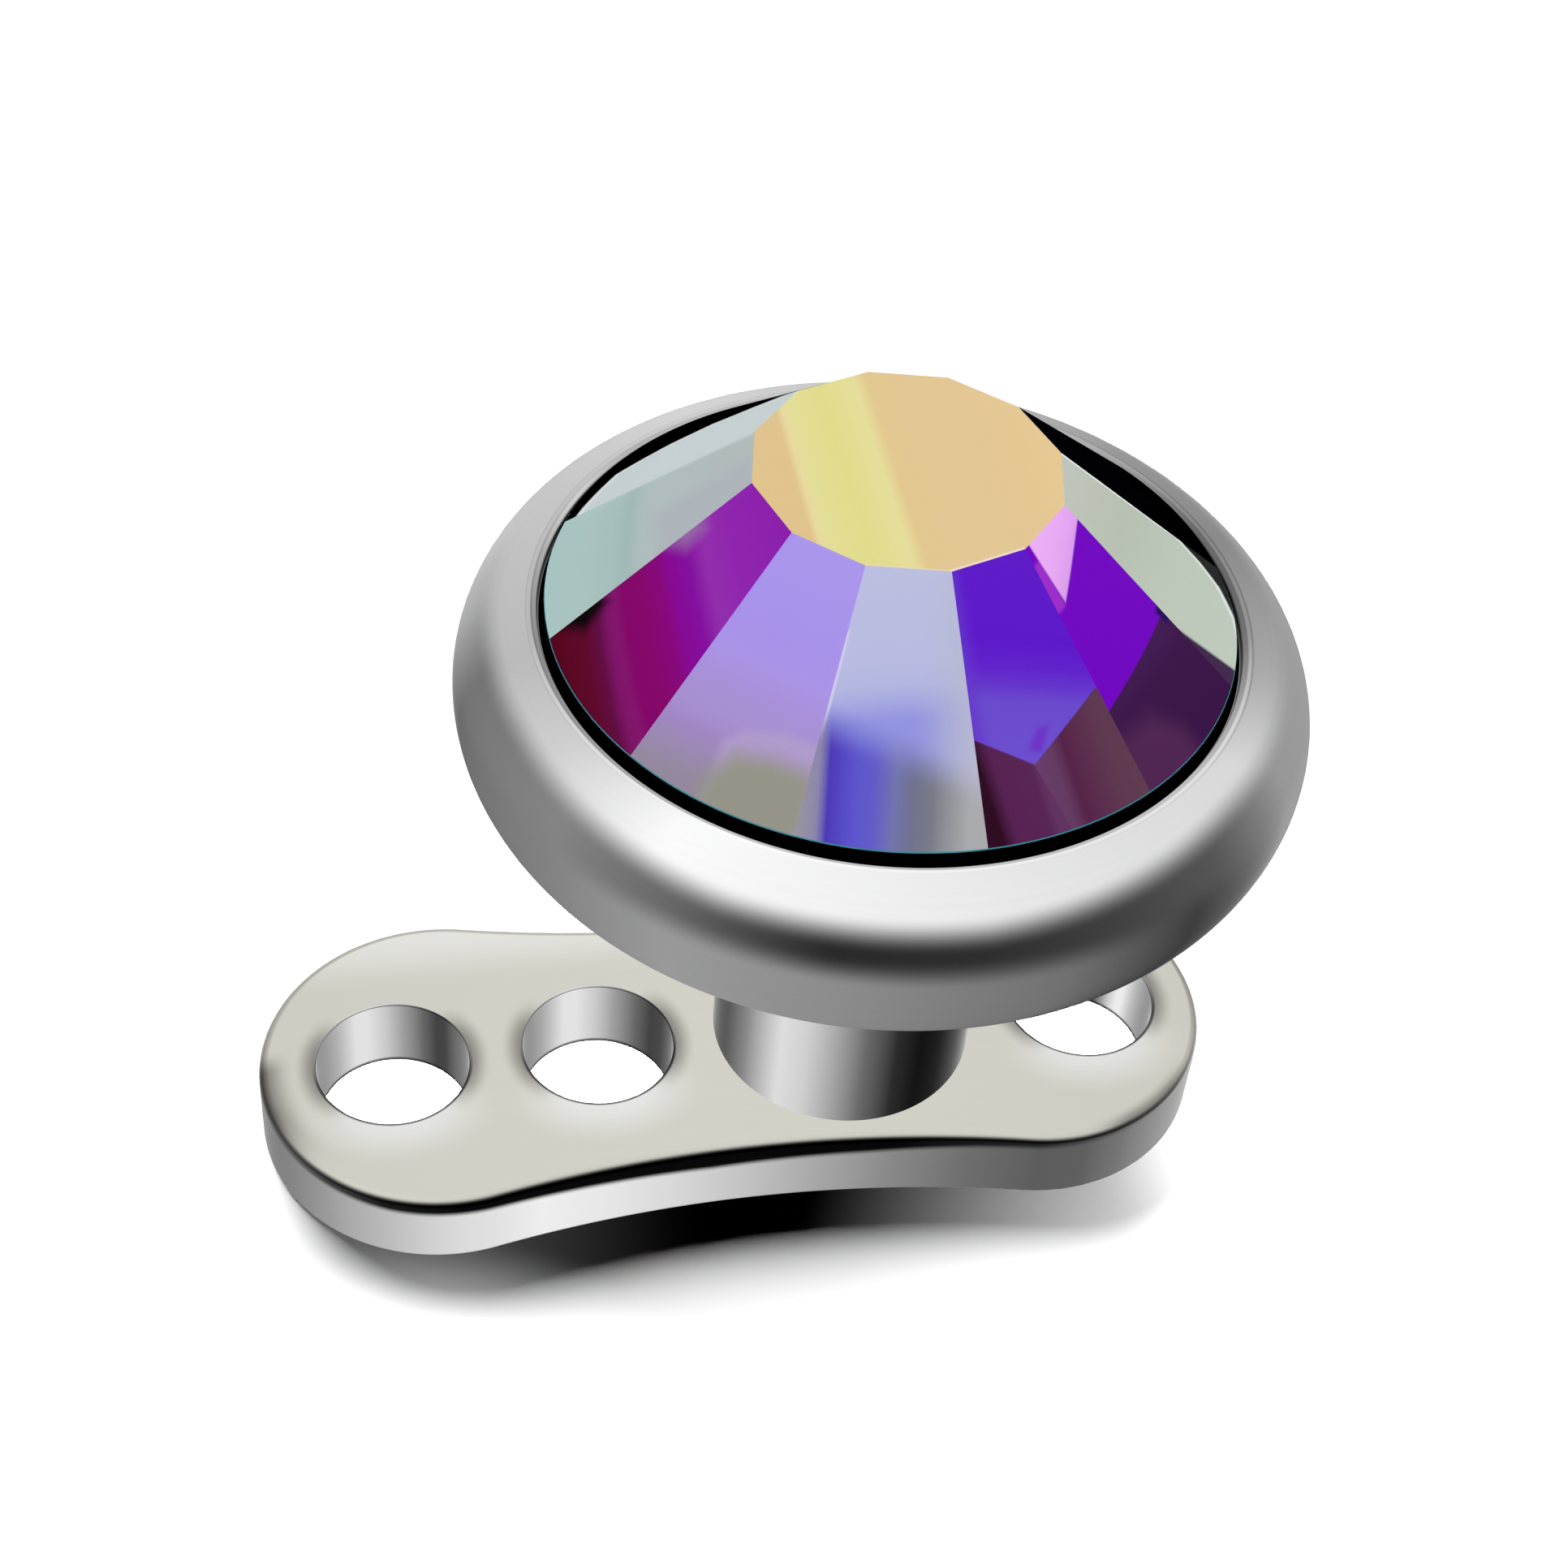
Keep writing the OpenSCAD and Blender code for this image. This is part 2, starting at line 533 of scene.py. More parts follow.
def add_plate(finishes):
    """The foot plate with its rounded edge and its three holes."""
    skin = Skin()
    outline = plate_outline()
    low = edge_rows(outline, LOW_EDGE_R, LOW_EDGE_R, -QUARTER, 0, LOW_EDGE_STEPS)
    top = edge_rows(outline, TOP_EDGE_R, PLATE_T - TOP_EDGE_R, 0, QUARTER, TOP_EDGE_STEPS)
    skin.band(low + top, EDGE_SLOT)

    edge_x = HOLE_R + HOLE_EDGE_R
    profile = arc(edge_x, PLATE_T - HOLE_EDGE_R, HOLE_EDGE_R, QUARTER, 2 * QUARTER, HOLE_EDGE_STEPS)
    profile += arc(edge_x, HOLE_EDGE_R, HOLE_EDGE_R, 2 * QUARTER, 3 * QUARTER, HOLE_EDGE_STEPS)
    for x in HOLES_X:
        skin.band(spin(profile, HOLE_STEPS, x), HOLE_SLOT)

    hole_loops = [circle(x, edge_x, HOLE_STEPS) for x in HOLES_X]
    top_loop = [corner[0][:2] for corner in top[-1]]
    low_loop = [corner[0][:2] for corner in low[0]]
    skin.cap([top_loop, *hole_loops], PLATE_T, 1, TOP_SLOT)
    skin.cap([low_loop, *hole_loops], 0, -1, SOLE_SLOT)
    return skin.build("foot_plate", "anchor_base", finishes)


def add_riser(finishes):
    """The riser with its blind bore. Its foot is sunk in the plate, because the two are one metal."""
    skin = Skin()
    foot_z = PLATE_T - RISER_SINK
    bore_z = DISC_Z - BORE_DEPTH
    edge_x = RISER_R - RISER_EDGE_R
    edge_z = RISER_TOP - RISER_EDGE_R
    skin.turned([
        (flat_profile(foot_z, 0, RISER_R, -1), BORE_SLOT),
        (wall_profile(RISER_R, foot_z, edge_z, 1), RISER_SLOT),
        (arc(edge_x, edge_z, RISER_EDGE_R, 0, QUARTER, RISER_EDGE_STEPS), RISER_SLOT),
        (flat_profile(RISER_TOP, edge_x, BORE_R, 1), BORE_SLOT),
        (wall_profile(BORE_R, RISER_TOP, bore_z, -1), BORE_SLOT),
        (flat_profile(bore_z, BORE_R, 0, 1), BORE_SLOT),
    ], RISER_STEPS)
    return skin.build("riser", "anchor_base", finishes)


# Disc
DISC_STEPS = 240
RIM_STEPS = 56
LIP_STEPS = 20
RIM_SLOT, CUP_SLOT, UNDER_SLOT = range(3)


def add_disc(finishes):
    """The disc with its round rim, its cup and the plain stem below it."""
    skin = Skin()
    skin.turned([
        (arc(rim_x, rim_z, RIM_R, -QUARTER, lip_angle, RIM_STEPS), RIM_SLOT),
        (arc(lip_x, lip_z, LIP_R, lip_angle, 2 * QUARTER, LIP_STEPS), RIM_SLOT),
        (wall_profile(CUP_R, lip_z, cup_z, -1), CUP_SLOT),
        (flat_profile(cup_z, CUP_R, 0, 1), CUP_SLOT),
        (flat_profile(DISC_Z, rim_x, STEM_R, -1), UNDER_SLOT),
        (wall_profile(STEM_R, DISC_Z, STEM_LOW, 1), UNDER_SLOT),
        (flat_profile(STEM_LOW, STEM_R, 0, -1), UNDER_SLOT),
    ], DISC_STEPS)
    return skin.build("jewel_disc", "disc_top", finishes)


# Crystal
ARC_STEPS = 12
ROW_STEPS = 6
TABLE_SLOT = FACETS
BELOW_SLOT = FACETS + 1
LINE_SLOT = FACETS + 2


def around(number, step):
    """Angle round the crystal of one step along a facet's lower edge."""
    return FACET_TURN + 2 * facet_half * (number + step / ARC_STEPS)


def ring_point(radius, angle, height):
    return Vector((radius * math.cos(angle), radius * math.sin(angle), height))


def ring(radius, height, tip):
    """Corners of a level ring round the crystal, with their normals tipped up by tip."""
    level = math.cos(tip)
    corners = []
    for step in range(FACETS * ARC_STEPS):
        angle = around(0, step)
        normal = (math.cos(angle) * level, math.sin(angle) * level, math.sin(tip))
        corners.append((tuple(ring_point(radius, angle, height)), normal))
    return corners


def crown_rows(number):
    """Rows of corners down one crown facet, from its table edge to the girdle.

    All have the flat facet's normal. Their places on the facet are across and down from the middle of its
    table edge.
    """
    middle = around(number, ARC_STEPS / 2)
    out = Vector((math.cos(middle), math.sin(middle), 0))
    side = Vector((-math.sin(middle), math.cos(middle), 0))
    down = out * math.cos(slope) - Vector((0, 0, math.sin(slope)))
    normal = tuple(out * math.sin(slope) + Vector((0, 0, math.cos(slope))))
    origin = out * apothem + Vector((0, 0, TABLE_Z))
    start = ring_point(TABLE_R, around(number, 0), TABLE_Z)
    end = ring_point(TABLE_R, around(number, ARC_STEPS), TABLE_Z)
    rows = []
    for i in range(ROW_STEPS + 1):
        row = []
        for step in range(ARC_STEPS + 1):
            upper = start.lerp(end, step / ARC_STEPS)
            lower = ring_point(crystal_r, around(number, step), GIRDLE_TOP)
            point = upper.lerp(lower, i / ROW_STEPS)
            place = ((point - origin).dot(side), (point - origin).dot(down))
            row.append((tuple(point), normal, place))
        rows.append(row)
    return rows


def add_crystal(finishes):
    """A table, a ring of crown facets that end on a level girdle, and a tapered back."""
    skin = Skin()
    middle = ((0, 0, TABLE_Z), (0, 0, 1), (0, 0))
    for number in range(FACETS):
        rows = crown_rows(number)
        skin.band(rows, number, closed=False)
        edge = [(point, (0, 0, 1), point[:2]) for point, _, _ in rows[0]]
        for one, two in zip(edge, edge[1:]):
            skin.face([middle, one, two], TABLE_SLOT)

    shoulder = GIRDLE_TOP - GIRDLE_LINE
    widest = crystal_r + GIRDLE_LINE / 2
    lower_z = BACK_Z + TAPER_H
    taper = -math.atan2(TAPER_H, crystal_r - BACK_R)
    skin.band([ring(crystal_r, GIRDLE_TOP, GIRDLE_TIP), ring(widest, shoulder, GIRDLE_TIP)], LINE_SLOT)
    skin.band([ring(widest, shoulder, 0), ring(crystal_r, lower_z, 0)], BELOW_SLOT)
    skin.band([ring(crystal_r, lower_z, taper), ring(BACK_R, BACK_Z, taper)], BELOW_SLOT)
    skin.face(ring(BACK_R, BACK_Z, -QUARTER), BELOW_SLOT)
    return skin.build("cut_crystal", "crystal", finishes)


# Steel finishes
# A pair of numbers for rise() gives where an effect starts and where it is full. Lengths are in millimetres.
PLATE_TONE = (225, 224, 214)
# Tone of the painted shade at the front of the plate's two ends
END_SHADE_TONE = (105, 104, 96)
WALL_ROUGHNESS = 0.2

# Tint of glancing reflections on the plate's walls, its holes and the riser
WALL_TINT = (0.6, 0.6, 0.6, 1)

# The rim's two tones, with its turning marks to the millimetre between them
RIM_TONES = (colour(249, 249, 250), colour(254, 254, 254))
RIM_MARKS = 30
RIM_ROUGHNESS = (0.08, 0.11)

# Painted light and shade on the cup's lip, as tones by their turn in degrees, 0 at the right and -90 at
# the front
LIP_LIGHT_TONES = [
    (-180, 183), (-150, 224), (-128, 254), (-90, 240), (-45, 224), (-32, 210), (-12, 152), (14, 133),
    (45, 178), (75, 190), (115, 207), (150, 190), (180, 183),
]

# Where the lip's tones, the pale tone of painted light on its inner side and its black foot of painted
# shade begin, from its middle line out. The pale tone is at the left alone, by x.
LIP_START = (0.02, 0.0)
INNER_START = (-0.01, -0.03)
INNER_LEFT = (-1.2, -1.8)
INNER_LIGHT_TONE = 254
BLACK_SHADE_START = (-0.042, -0.052)


def polished_steel():
    """Mirror-polished rim steel, with faint turning marks and painted light and shade on the cup's lip."""
    steel = Finish("polished_steel", Metallic=1.0)
    x, y, z = steel.place()
    radius = x.length_with(y)
    from_lip = radius - lip_x
    marks = steel.noise(radius * RIM_MARKS, z * RIM_MARKS, 0)
    shade = steel.over(*RIM_TONES, marks)
    lip = steel.stops(steel.turn(x, y), greys(LIP_LIGHT_TONES))
    shade = steel.over(shade, lip, from_lip.rise(*LIP_START))
    inner = from_lip.rise(*INNER_START) * x.rise(*INNER_LEFT)
    shade = steel.over(shade, colour(INNER_LIGHT_TONE), inner)
    steel.colour(steel.over(shade, colour(0), from_lip.rise(*BLACK_SHADE_START)))
    steel.roughness(marks.between(*RIM_ROUGHNESS))
    return steel.material


CUP_SHADE_TONES = (colour(0), colour(6))
CUP_GRAIN = 6.0
CUP_ROUGHNESS = 0.6


def cup_black():
    """Dark cup bed of painted shade, a black ring round the crystal, and also the crystal's hidden back."""
    dark = Finish("dark_cup", Metallic=0.0, Specular_IOR_Level=0.0)
    x, y, z = dark.place()
    dark.colour(dark.over(*CUP_SHADE_TONES, dark.noise(x, y, z, CUP_GRAIN)))
    dark.roughness(CUP_ROUGHNESS)
    return dark.material


# The grain is drawn out along x. Its two numbers are marks to the millimetre, along and across.
HIDDEN_TONES = (colour(184), colour(196))
HIDDEN_GRAIN = (3, 40)
HIDDEN_ROUGHNESS = (0.3, 0.4)


def satin_steel():
    """Plain satin steel of the hidden faces."""
    steel = Finish("satin_steel", Metallic=1.0)
    x, y, z = steel.place()
    along, across = HIDDEN_GRAIN
    grain = steel.noise(x * along, y * across, z * across)
    steel.colour(steel.over(*HIDDEN_TONES, grain))
    steel.roughness(grain.between(*HIDDEN_ROUGHNESS))
    return steel.material


# Painted shade at the plate's two ends, by the distance from the end's middle and by x and y. The left one
# fades to the back and to the front.
LEFT_RING = (0.93, 1.19)
LEFT_X = (-3.0, -3.3)
LEFT_BACK = (0.2, 0.0)
LEFT_FRONT = (-0.8, -0.3)
RIGHT_RING = (1.04, 1.14)
RIGHT_X = (1.4, 1.75)
RIGHT_FRONT = (-0.55, -0.85)
RIGHT_STRENGTH = 0.65


def painted_end_shade(x, y):
    """Where painted shade darkens the plate's top towards the front edge of its two ends, from 0 to 1."""
    left = (x + LONG_REACH).length_with(y).rise(*LEFT_RING) * x.rise(*LEFT_X)
    right = (x - SHORT_REACH).length_with(y).rise(*RIGHT_RING) * x.rise(*RIGHT_X) * y.rise(*RIGHT_FRONT)
    return left * y.rise(*LEFT_BACK) * y.rise(*LEFT_FRONT) + right * RIGHT_STRENGTH


# Round each hole of the plate's top: a painted highlight in front of it, painted shade at both sides and
# a dark line of painted shade along the front of its edge. A reach is a distance from that edge. The
# highlight's front and the side shade's spread are how much of the way from the hole's middle goes to the
# front or to a side, and HOLE_FRONT is by y.
HOLE_HIGHLIGHT_TONE = (246, 247, 244)
HOLE_HIGHLIGHT_REACH = (0.36, 0.0)
HOLE_HIGHLIGHT_FRONT = (0.35, 1.0)
SIDE_SHADE_TONE = (120, 119, 112)
SIDE_SHADE_REACH = (0.15, 0.0)
SIDE_SHADE_SPREAD = (0.6, 1.0)
SIDE_SHADE_STRENGTH = 0.8
HOLE_SHADE_LINE_TONE = 40
HOLE_LINE_REACH = (0.026, 0.014)
HOLE_LINE_STRENGTH = 0.85
HOLE_FRONT = (0.1, -0.2)

# Painted highlight along the back edge of the plate's top
BACK_HIGHLIGHT_TONE = (250, 250, 246)
BACK_HIGHLIGHT_START = (0.6, 1.08)
BACK_HIGHLIGHT_STRENGTH = 0.8
TOP_GRAIN = (2, 30)
TOP_ROUGHNESS = (0.36, 0.42)


def plate_top():
    """Satin warm-grey top of the plate, with painted highlights and shade round the holes and at its edges.
    """
    steel = Finish("satin_plate", Metallic=1.0)
    x, y, z = steel.place()
    shade = colour(*PLATE_TONE)
    for hole_x in HOLES_X:
        away = (x - hole_x).length_with(y)
        from_edge = away - HOLE_R
        # Painted highlight in front of the hole, painted shade at its sides and a dark line of painted shade
        # at its front
        glow = from_edge.rise(*HOLE_HIGHLIGHT_REACH) * (-y / away).rise(*HOLE_HIGHLIGHT_FRONT)
        shade = steel.over(shade, colour(*HOLE_HIGHLIGHT_TONE), glow)
        beside = from_edge.rise(*SIDE_SHADE_REACH) * (abs(x - hole_x) / away).rise(*SIDE_SHADE_SPREAD)
        shade = steel.over(shade, colour(*SIDE_SHADE_TONE), beside * SIDE_SHADE_STRENGTH)
        line = from_edge.rise(*HOLE_LINE_REACH) * y.rise(*HOLE_FRONT)
        shade = steel.over(shade, colour(HOLE_SHADE_LINE_TONE), line * HOLE_LINE_STRENGTH)
    # Painted highlight along the back edge
    shade = steel.over(shade, colour(*BACK_HIGHLIGHT_TONE), y.rise(*BACK_HIGHLIGHT_START) * BACK_HIGHLIGHT_STRENGTH)
    # Painted shade towards the front edge of the plate's two ends
    steel.colour(steel.over(shade, colour(*END_SHADE_TONE), painted_end_shade(x, y)))
    along, across = TOP_GRAIN
    steel.roughness(steel.noise(x * along, y * across, 0).between(*TOP_ROUGHNESS))
    return steel.material


# Painted light and shade along the plate's wall, as tones by x, from one end of the plate to the other
WALL_LIGHT_STOPS = [
    (-3.8, 112), (-3.64, 139), (-3.4, 158), (-3.05, 186), (-2.6, 222), (-2.1, 244), (-1.7, 236), (-1.25, 220),
    (-0.8, 198), (-0.3, 168), (0.15, 138), (0.65, 110), (1.1, 93), (1.4, 98), (1.67, 128), (1.85, 158),
    (2.02, 184), (2.2, 204), (2.43, 226),
]

# Tones of the dark line under the plate's top edge by x, a painted dark reflection, and how far it reaches
# down from the top
DARK_REFLECTION_STOPS = [
    (-3.8, 110), (-3.42, 60), (-3.09, 20), (-2.6, 0), (0.2, 0), (1.1, 35), (1.6, 85), (1.9, 145), (2.2, 200),
    (2.43, 226),
]
DARK_REFLECTION_DEPTHS = [
    (-3.8, 0.07), (-3.4, 0.09), (-3.05, 0.11), (-2.6, 0.12), (-1.9, 0.145), (-1.0, 0.175), (0.0, 0.145),
    (0.7, 0.095), (1.6, 0.06), (2.43, 0.04),
]

# Borders on the plate's edge, by the distance down from its top. The line is on the front half alone.
TOP_COLOUR_END = (0.05, 0.02)
TOP_GLOSS_END = (0.05, 0.01)
LINE_START = (0.005, 0.035)
LINE_END = (0.03, -0.03)
LINE_FRONT = (0.3, -0.3)
EDGE_ROUGHNESS = (0.25, 0.39)


def plate_edge():
    """Rounded edge and wall of the plate: painted bands of light, and a painted dark line under its top."""
    steel = Finish("plate_edge", Metallic=1.0, Specular_Tint=WALL_TINT)
    x, y, z = steel.place()
    below = PLATE_T - z
    wall = steel.stops(x, greys(WALL_LIGHT_STOPS))
    # The top of the rounding, with the painted shade at the plate's two ends
    top = steel.over(colour(*PLATE_TONE), colour(*END_SHADE_TONE), painted_end_shade(x, y))
    shade = steel.over(wall, top, below.rise(*TOP_COLOUR_END))
    # The dark line under the top edge is a painted dark reflection
    dark = steel.stops(x, greys(DARK_REFLECTION_STOPS))
    depth = steel.field(steel.stops(x, [(at, even(reach)) for at, reach in DARK_REFLECTION_DEPTHS]))
    line = below.rise(*LINE_START) * (below - depth).rise(*LINE_END) * y.rise(*LINE_FRONT)
    steel.colour(steel.over(shade, dark, line))
    steel.roughness(below.rise(*TOP_GLOSS_END).between(*EDGE_ROUGHNESS))
    return steel.material


# Painted light and shade across a hole's wall, as tones from its bright band at 0 to its dark band at 1, and
# the bands' places in the three holes as shares of the diameter
HOLE_LIGHT_STOPS = [
    (-0.8, 120), (-0.5, 150), (-0.22, 198), (0.0, 235), (0.15, 231), (0.37, 200), (0.57, 155), (0.8, 100),
    (0.95, 63), (1.05, 66), (1.2, 120), (1.3, 150),
]
BRIGHT_BANDS = (0.28, 0.33, 0.93)
DARK_BANDS = (0.845, 0.93, 0.766)

# Where a hole's tones take over from those of the hole to its left, and the dark lines of painted shade at
# the wall's top, in front, and at its foot
NEXT_HOLE = (-0.62, -0.6)
WALL_SHADE_LINE_TONE = 20
WALL_LINE_STRENGTH = 0.85
TOP_LINE = (0.02, 0.008)
FOOT_LINE = (0.045, 0.02)


def hole_wall():
    """Polished walls of the holes, with one painted bright band of light and one painted dark band of shade
    each.
    """
    steel = Finish("polished_holes", Metallic=1.0, Specular_Tint=WALL_TINT)
    x, y, z = steel.place()
    shade = None
    for hole_x, bright, dark in zip(HOLES_X, BRIGHT_BANDS, DARK_BANDS):
        from_middle = x - hole_x
        across = (from_middle + HOLE_R) / (2 * HOLE_R)
        bands = steel.stops((across - bright) / (dark - bright), greys(HOLE_LIGHT_STOPS))
        shade = bands if shade is None else steel.over(shade, bands, from_middle.rise(*NEXT_HOLE))
    lines = ((PLATE_T - z).rise(*TOP_LINE) * y.rise(*HOLE_FRONT)).most(z.rise(*FOOT_LINE))
    steel.colour(steel.over(shade, colour(WALL_SHADE_LINE_TONE), lines * WALL_LINE_STRENGTH))
    steel.roughness(WALL_ROUGHNESS)
    return steel.material


# Painted light and shade round the riser, as tones by their turn in degrees, 0 at the right and -90 at the
# front
RISER_LIGHT_STOPS = [
    (-180, 30), (-165, 78), (-150, 140), (-142, 176), (-131, 214), (-119, 201), (-106, 160),
    (-94, 106), (-80, 43), (-68, 3), (-56, 3), (-43, 57), (-35, 92), (-10, 170), (30, 210), (80, 150),
    (130, 60), (180, 30),
]


def riser_wall():
    """Polished wall of the riser, with one painted bright band of light and one painted dark band of shade.
    """
    steel = Finish("polished_riser", Metallic=1.0, Specular_Tint=WALL_TINT)
    x, y, z = steel.place()
    steel.colour(steel.stops(steel.turn(x, y), greys(RISER_LIGHT_STOPS)))
    steel.roughness(WALL_ROUGHNESS)
    return steel.material


# The washes and patches paint the coated glass's colours fixed on each facet: painted reflections of the
# coating and of the stone's inner facets.
# Crystal finishes
# A wash is a run of colour stops along a direction on the facet, given as shares of across and down.
Wash = namedtuple("Wash", "across down stops")
# A patch is an area with straight soft edges, in a plain paint or a wash. Its corners go round it clockwise
# as seen with the table at the top, and two corners make the part of the facet to the right of the line from
# one to the other. Its edges blend over the width soft.
Patch = namedtuple("Patch", "paint soft corners outside", defaults=(False,))

# Black all over: painted dark reflection of the shadowed gap round the stone
GAP_SHADE_FACET = [
    Wash(0, 1, [(0.0, (3, 2, 6)), (0.7, (2, 1, 3)), (1.5, (0, 0, 0))]),
]
BACK_LEFT = [
    Wash(0, 1, [(0.0, (198, 207, 209)), (0.8, (198, 207, 210)), (1.5, (196, 206, 208))]),
    Patch((186, 199, 200), 0.1, [(0.38, 0.6), (0.30, 0.2)]),
    # Pale line of painted highlight along the black crescent
    Patch((212, 219, 221), 0.03, [(0.7, -0.3), (0.7, 1.30), (0.41, 1.30), (0.10, 1.25), (0.0, 1.11),
                                  (-0.10, 0.95), (-0.20, 0.70), (-0.235, 0.40), (-0.245, -0.3)], True),
    # Black crescent at the outer corner: painted dark reflection of the gap
    Patch((0, 0, 0), 0.03, [(0.7, -0.3), (0.7, 1.36), (0.42, 1.35), (0.10, 1.30), (0.0, 1.16), (-0.11, 0.99),
                            (-0.22, 0.72), (-0.255, 0.40), (-0.265, -0.3)], True),
]
LEFT = [
    Wash(0, 1, [(0.0, (178, 186, 186)), (0.3, (175, 186, 188)), (0.7, (176, 189, 190)),
                (0.8, (172, 189, 189)), (0.88, (159, 184, 181)), (1.0, (165, 191, 188)),
                (1.15, (169, 194, 191)), (1.5, (167, 197, 195))]),
    Patch((173, 180, 186), 0.2, [(0.0, -0.2), (0.7, -0.2), (0.7, 0.60), (0.0, 0.70)]),
    Patch((192, 203, 206), 0.03, [(-0.23, 0.1), (-0.42, 1.0)]),
]
PURPLE = [
    Wash(-0.4, 1, [(-0.1, (137, 27, 172)), (0.3, (143, 35, 173)), (0.48, (145, 44, 172)),
                   (0.6, (131, 8, 158)), (0.72, (134, 2, 150)), (0.8, (134, 1, 125)), (0.95, (132, 1, 106)),
                   (1.08, (130, 0, 104)), (1.14, (130, 18, 108)), (1.2, (126, 18, 104)),
                   (1.28, (96, 8, 66)), (1.38, (94, 3, 42)), (1.6, (84, 0, 26))]),
    Patch((150, 100, 165), 0.16, [(-0.5, 0.30), (-0.24, 0.36), (-0.24, 0.5), (-0.5, 0.64)]),
    Patch((8, 0, 4), 0.12, [(-0.60, 1.06), (-0.38, 1.04), (-0.34, 1.24), (-0.60, 1.42)]),
]
LAVENDER = [
    Wash(0, 1, [(0.0, (169, 150, 235)), (0.5, (167, 146, 234)), (0.7, (169, 147, 229)),
                (0.9, (167, 144, 213)), (1.05, (166, 143, 207)), (1.15, (161, 134, 196)),
                (1.25, (155, 137, 180)), (1.4, (147, 136, 158))]),
    Patch((175, 154, 204), 0.08, [(-0.06, 1.15), (0.04, 1.05), (0.24, 0.98), (0.55, 0.95), (0.55, 1.6),
                                  (0.0, 1.6)]),
    Patch((149, 147, 136), 0.17, [(-0.06, 1.34), (0.03, 1.18), (0.25, 1.12), (0.55, 1.10), (0.55, 1.7),
                                  (-0.06, 1.7)]),
]
FRONT = [
    Wash(0.15, 1, [(0.0, (188, 190, 224)), (0.5, (184, 187, 224)), (0.62, (178, 181, 224)),
                   (0.8, (146, 148, 224)), (1.2, (138, 138, 216))]),
    Patch((182, 184, 209), 0.40, [(0.24, 1.6), (0.24, 0.0)]),
    # Thin line of painted highlight along the left ridge
    Patch((206, 207, 232), 0.014, [(-0.31, 0.35), (-0.284, 0.35), (-0.394, 0.92), (-0.42, 0.92)]),
    Patch(Wash(1, 0, [(-0.5, (152, 149, 160)), (-0.40, (138, 134, 168)), (-0.345, (74, 56, 182)),
                      (-0.2, (92, 83, 204)), (-0.1, (96, 92, 198)), (0.0, (113, 115, 174)),
                      (0.1, (110, 113, 140)), (0.2, (119, 122, 134)), (0.3, (145, 148, 152)),
                      (0.4, (168, 169, 173))]),
          0.26, [(-0.5, 0.80), (0.5, 1.14)]),
]
BLUE_VIOLET = [
    Wash(-0.35, 1, [(0.0, (93, 24, 201)), (0.45, (92, 21, 201)), (0.6, (95, 32, 202)), (0.7, (100, 52, 204)),
                    (0.8, (105, 74, 204)), (1.2, (108, 80, 206))]),
    Patch((101, 54, 203), 0.15, [(-0.24, 0.1), (-0.34, 0.8)]),
    Patch((110, 52, 200), 0.05, [(-0.13, 1.02), (-0.04, 0.92), (0.03, 0.93), (-0.06, 1.05)]),
    Patch(Wash(1, 0, [(-0.42, (45, 6, 30)), (-0.34, (86, 32, 82)), (-0.15, (88, 35, 84)),
                      (-0.1, (96, 50, 96))]),
          0.012, [(-0.6, 0.72), (-0.12, 1.10), (0.3, 1.432), (0.3, 1.7), (-0.6, 1.7)]),
    Patch(Wash(1, 0, [(-0.12, (104, 62, 108)), (0.0, (99, 57, 95)), (0.08, (85, 33, 71)), (0.2, (90, 45, 77)),
                      (0.3, (93, 54, 79)), (0.5, (94, 60, 79))]),
          0.012, [(-0.12, 1.10), (0.6, 0.69), (0.6, 1.7), (0.02, 1.7)]),
]
PINK_CORNER = [
    Wash(0, 1, [(0.0, (113, 0, 194)), (1.0, (112, 0, 193))]),
    Patch((155, 45, 200), 0.03, [(-0.6, 0.1), (-0.19, 0.1), (-0.225, 0.38), (-0.6, 0.40)]),
    Patch(Wash(0.5, 1, [(0.0, (234, 174, 245)), (0.15, (230, 166, 242)), (0.28, (212, 156, 233))]),
          0.015, [(-0.17, -0.2), (0.6, -0.2), (0.6, -0.093), (-0.213, 0.366)]),
    Patch(Wash(0, 1, [(0.85, (66, 26, 84)), (1.05, (59, 19, 73)), (1.4, (56, 16, 69))]),
          0.012, [(-0.42, 0.96), (0.46, 0.82), (0.6, 1.6), (-0.6, 1.6)]),
    Patch((79, 36, 81), 0.2, [(-0.6, 1.1), (-0.2, 1.15), (-0.05, 1.35), (-0.05, 1.7), (-0.6, 1.7)]),
    Patch((34, 8, 92), 0.04, [(0.33, 0.80), (0.44, 0.76), (0.44, 0.88), (0.36, 0.90)]),
]
